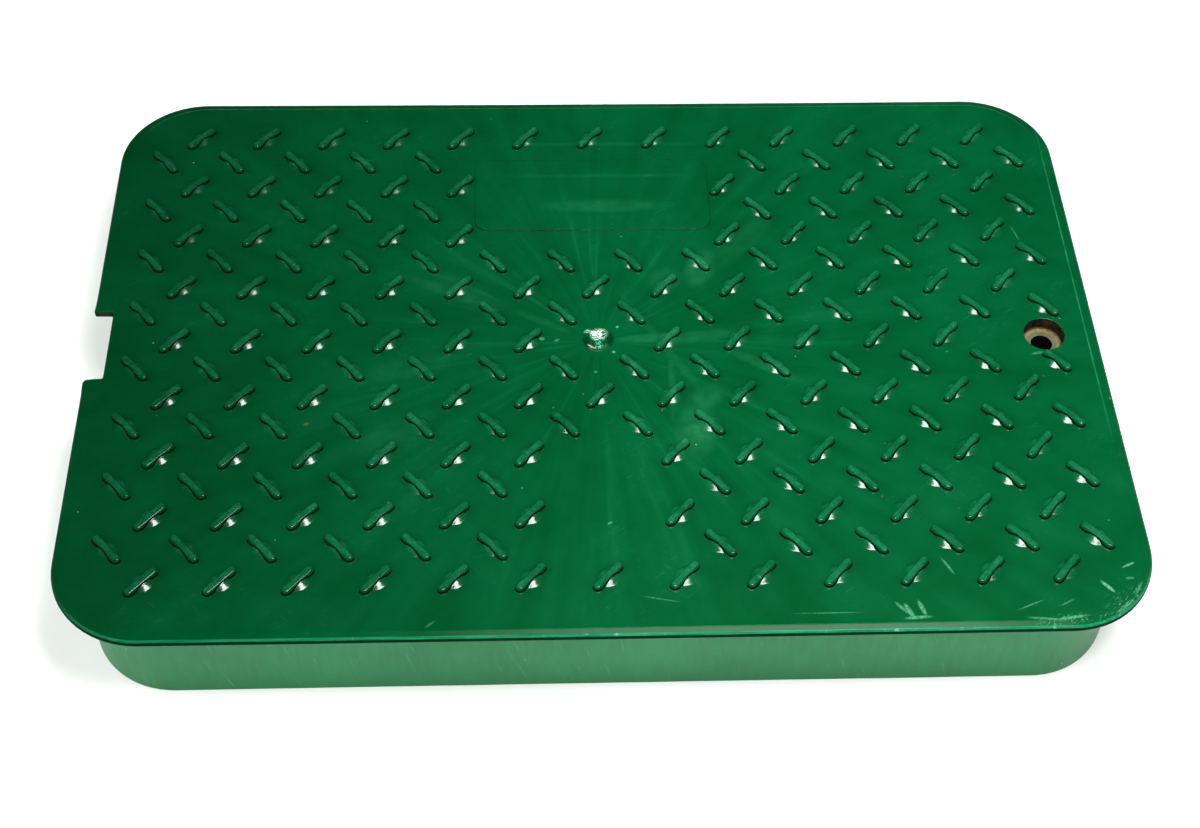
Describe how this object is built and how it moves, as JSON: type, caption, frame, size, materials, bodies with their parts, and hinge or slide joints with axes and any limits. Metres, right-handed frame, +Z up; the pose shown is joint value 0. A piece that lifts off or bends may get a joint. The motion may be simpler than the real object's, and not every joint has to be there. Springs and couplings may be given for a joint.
{
  "type": "valve box cover",
  "caption": "Rectangular treaded plastic cover for an in-ground irrigation valve box, with an overhanging flange, inset skirt, bolt recess and lifting notch.",
  "frame": {"origin": "on the plane the skirt stands on, under the middle of the plate", "axes": "+Z up out of the treaded face, +X towards the bolt hole, +Y towards the blank panel"},
  "size_m": [0.432, 0.297, 0.052],
  "materials": {
    "green_plastic": "dark green moulded polyolefin, glossy on top, slightly satin on the skirt, with flow marks, scuffs and soil in the bolt recess"
  },
  "bodies": {
    "root": {"cover": "green_plastic"}
  },
  "joints": []
}
